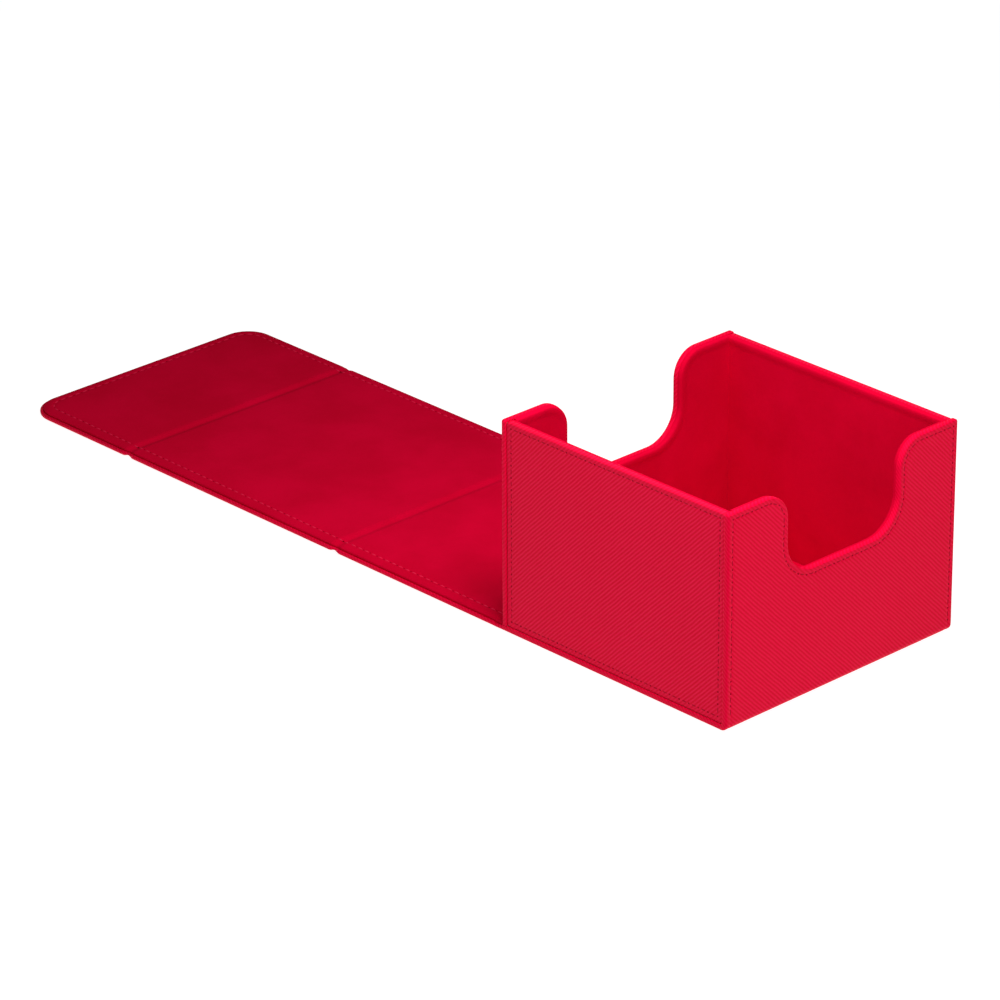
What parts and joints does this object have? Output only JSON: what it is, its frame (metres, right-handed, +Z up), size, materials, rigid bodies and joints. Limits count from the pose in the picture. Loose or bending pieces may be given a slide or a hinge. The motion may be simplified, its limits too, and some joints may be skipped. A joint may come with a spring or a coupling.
{
  "type": "card deck box",
  "caption": "Leatherette deck box: an open tray with finger notches in two walls and a long three-panel magnetic flap that wraps over it, lying open.",
  "frame": {"origin": "middle of the tray's flat underside, on the surface it stands on", "axes": "+X from the hinge wall to the front wall, away from the open flap; +Y across the box; +Z up"},
  "size_m": [0.3417, 0.1036, 0.0743],
  "materials": {
    "leatherette": "embossed diagonal rib, satin",
    "lining": "smooth microfibre, matte",
    "board": "grey board",
    "magnet": "nickel plated disc",
    "thread": "tonal sewing thread"
  },
  "bodies": {
    "tray": {"base_skin": "leatherette", "base_board": "board", "base_lining": "lining", "hinge_wall_skin": "leatherette", "hinge_wall_board": "board", "hinge_wall_thread": "thread", "hinge_wall_lining": "lining", "front_wall_skin": "leatherette", "front_wall_board": "board", "front_wall_thread": "thread", "front_wall_lining": "lining", "front_magnet_1": "magnet", "front_magnet_2": "magnet", "front_magnet_3": "magnet", "front_magnet_4": "magnet", "near_side_skin": "leatherette", "near_side_board": "board", "near_side_thread": "thread", "near_side_lining": "lining", "far_side_skin": "leatherette", "far_side_board": "board", "far_side_thread": "thread", "far_side_lining": "lining"},
    "spine": {"spine_skin": "leatherette", "spine_board": "board", "spine_lining": "lining", "spine_outer_thread_near": "thread", "spine_outer_thread_far": "thread", "spine_inner_thread_near": "thread", "spine_inner_thread_far": "thread"},
    "lid": {"lid_skin": "leatherette", "lid_board": "board", "lid_lining": "lining", "lid_outer_thread_near": "thread", "lid_outer_thread_far": "thread", "lid_inner_thread_near": "thread", "lid_inner_thread_far": "thread"},
    "lip": {"lip_skin": "leatherette", "lip_board": "board", "lip_lining": "lining", "lip_outer_thread": "thread", "lip_inner_thread": "thread", "lip_magnet_1": "magnet", "lip_magnet_2": "magnet", "lip_magnet_3": "magnet", "lip_magnet_4": "magnet"}
  },
  "joints": [
    {"name": "spine_fold", "type": "hinge", "parent": "tray", "child": "spine", "pos_m": [-0.05295, 0, 0.00035], "axis": [0, 1, 0], "range_deg": [0, 90]},
    {"name": "lid_fold", "type": "hinge", "parent": "spine", "child": "lid", "pos_m": [-0.13125, 0, 0.00035], "axis": [0, 1, 0], "range_deg": [0, 90]},
    {"name": "lip_fold", "type": "hinge", "parent": "lid", "child": "lip", "pos_m": [-0.23715, 0, 0.00035], "axis": [0, 1, 0], "range_deg": [0, 90]}
  ]
}
